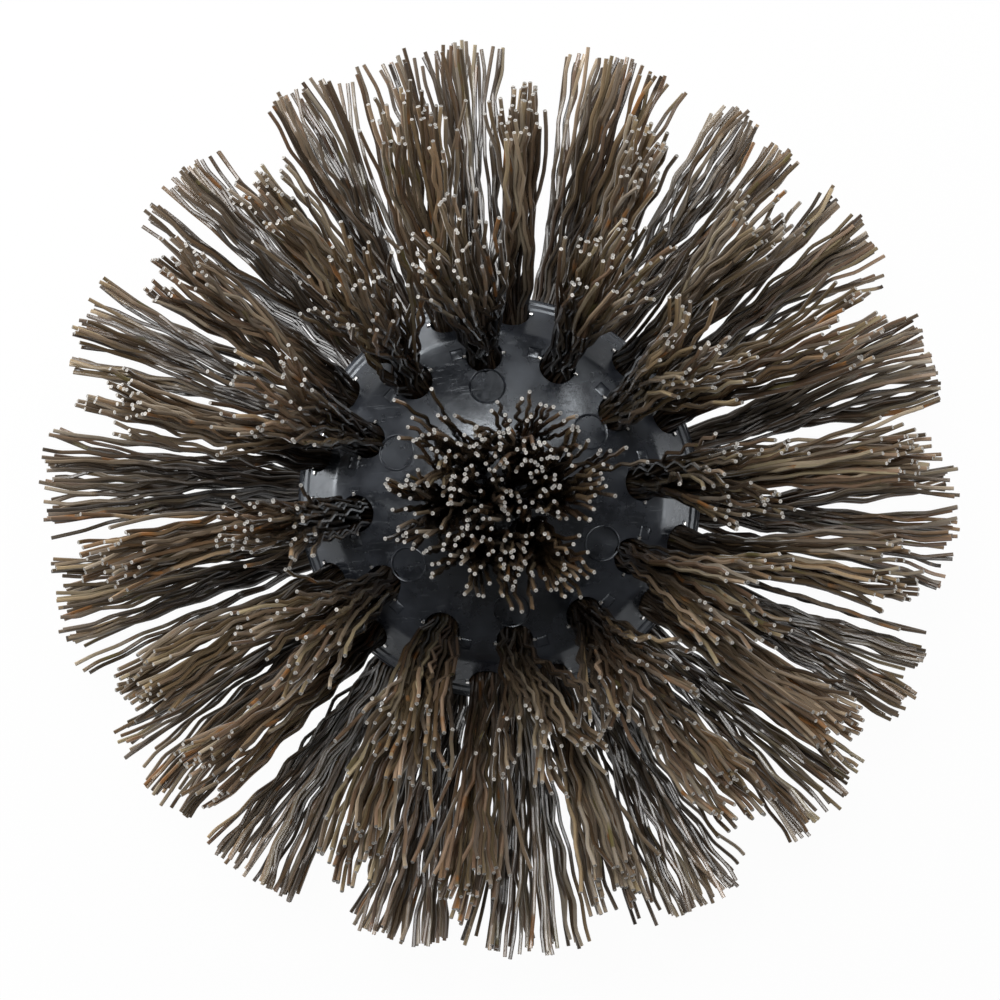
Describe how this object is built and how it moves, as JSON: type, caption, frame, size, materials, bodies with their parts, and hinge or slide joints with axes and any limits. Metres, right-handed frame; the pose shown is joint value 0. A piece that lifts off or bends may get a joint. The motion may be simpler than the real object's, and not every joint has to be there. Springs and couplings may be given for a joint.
{
  "type": "round scrub brush head",
  "caption": "Round domed scrub brush head: crimped bristle tufts fan out from its front to its sides, and a threaded pole socket stands at its back.",
  "frame": {"origin": "centre of the pole socket's end face, which is also the centre of the bottom of the bounding box", "axes": "+Z along the axis of the pole, towards the bristled front; +X runs through the first tuft of the front ring"},
  "size_m": [0.1502, 0.1496, 0.0959],
  "materials": {
    "hub_plastic": "semi-gloss moulded charcoal plastic",
    "bristle": "crimped dark brown plastic filament",
    "staple_wire": "bright drawn wire anchors in the tuft holes"
  },
  "bodies": {
    "root": {"pole_socket": "hub_plastic", "rear_block": "hub_plastic", "front_block": "hub_plastic", "centre_tuft_01": "bristle", "inner_tuft_01": "bristle", "inner_tuft_02": "bristle", "inner_tuft_03": "bristle", "inner_tuft_04": "bristle", "inner_tuft_05": "bristle", "inner_tuft_06": "bristle", "front_tuft_01": "bristle", "front_tuft_02": "bristle", "front_tuft_03": "bristle", "front_tuft_04": "bristle", "front_tuft_05": "bristle", "front_tuft_06": "bristle", "front_tuft_07": "bristle", "front_tuft_08": "bristle", "front_tuft_09": "bristle", "front_tuft_10": "bristle", "front_tuft_11": "bristle", "front_tuft_12": "bristle", "shoulder_tuft_01": "bristle", "shoulder_tuft_02": "bristle", "shoulder_tuft_03": "bristle", "shoulder_tuft_04": "bristle", "shoulder_tuft_05": "bristle", "shoulder_tuft_06": "bristle", "shoulder_tuft_07": "bristle", "shoulder_tuft_08": "bristle", "shoulder_tuft_09": "bristle", "shoulder_tuft_10": "bristle", "shoulder_tuft_11": "bristle", "shoulder_tuft_12": "bristle", "shoulder_tuft_13": "bristle", "shoulder_tuft_14": "bristle", "shoulder_tuft_15": "bristle", "shoulder_tuft_16": "bristle", "shoulder_tuft_17": "bristle", "shoulder_tuft_18": "bristle", "side_tuft_01": "bristle", "side_tuft_02": "bristle", "side_tuft_03": "bristle", "side_tuft_04": "bristle", "side_tuft_05": "bristle", "side_tuft_06": "bristle", "side_tuft_07": "bristle", "side_tuft_08": "bristle", "side_tuft_09": "bristle", "side_tuft_10": "bristle", "side_tuft_11": "bristle", "side_tuft_12": "bristle", "side_tuft_13": "bristle", "side_tuft_14": "bristle", "side_tuft_15": "bristle", "side_tuft_16": "bristle", "side_tuft_17": "bristle", "side_tuft_18": "bristle"}
  },
  "joints": []
}
